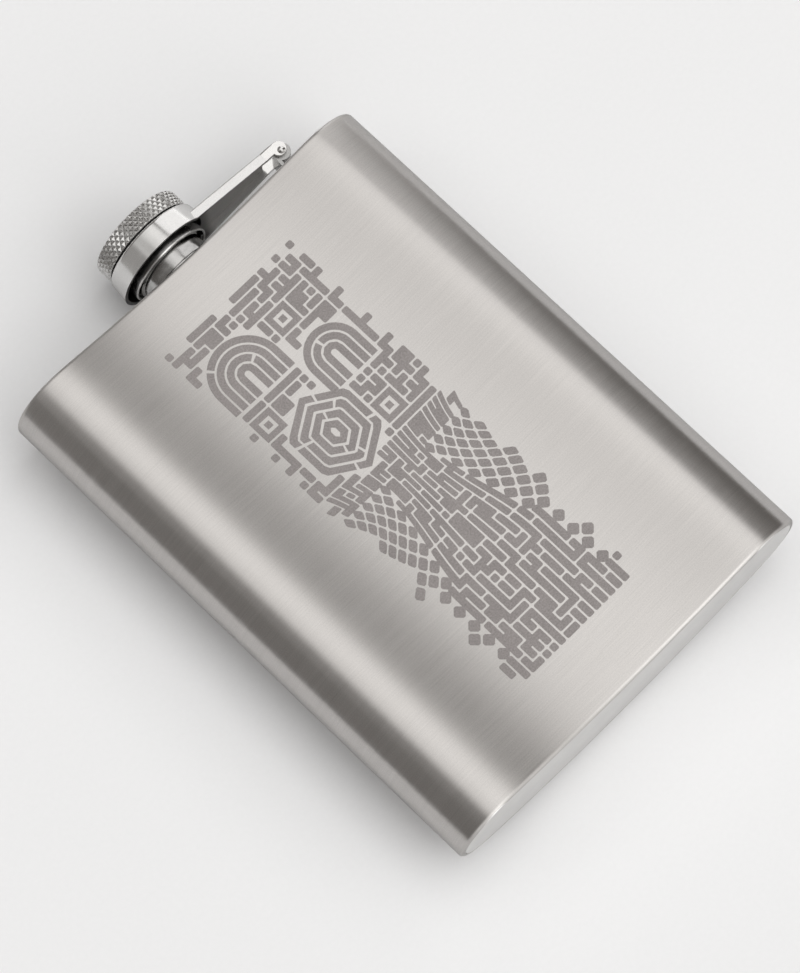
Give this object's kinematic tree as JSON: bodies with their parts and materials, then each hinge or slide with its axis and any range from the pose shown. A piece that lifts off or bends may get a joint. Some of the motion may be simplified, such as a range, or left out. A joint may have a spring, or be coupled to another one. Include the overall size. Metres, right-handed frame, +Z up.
{
  "type": "hip flask",
  "caption": "Curved steel hip flask with a kidney section, a threaded neck and a knurled screw cap held captive on a hinged arm.",
  "frame": {"origin": "middle of the flat base, on the neck's axis", "axes": "+Z up along the neck's axis to the cap, +X to the hinge side, the hollow engraved face looks towards -Y and the bulging face towards +Y"},
  "size_m": [0.095, 0.0271, 0.1399],
  "materials": {
    "brushed_shell": "brushed across the body, satin",
    "end_plates": "fine satin",
    "polished_steel": "polished",
    "knurled_steel": "diamond knurled band, turned top",
    "gasket": "matte food-grade silicone",
    "washer": "matte nylon"
  },
  "bodies": {
    "flask": {"body_shell": "brushed_shell", "base_plate": "end_plates", "top_plate": "end_plates", "neck": "polished_steel", "hinge_bracket": "polished_steel"},
    "arm": {"arm": "polished_steel", "hinge_pin": "polished_steel"},
    "cap": {"cap_head": "knurled_steel", "friction_washer": "washer", "threaded_insert": "polished_steel", "cap_rivet": "polished_steel", "cap_gasket": "gasket"}
  },
  "joints": [
    {"name": "arm_swing", "type": "hinge", "parent": "flask", "child": "arm", "pos_m": [0.0326, 0, 0.1296], "axis": [0, 1, 0], "range_deg": [0, 185]},
    {"name": "cap_turn", "type": "hinge", "parent": "arm", "child": "cap", "pos_m": [0, 0, 0.1295], "axis": [0, 0, 1], "continuous": true}
  ]
}
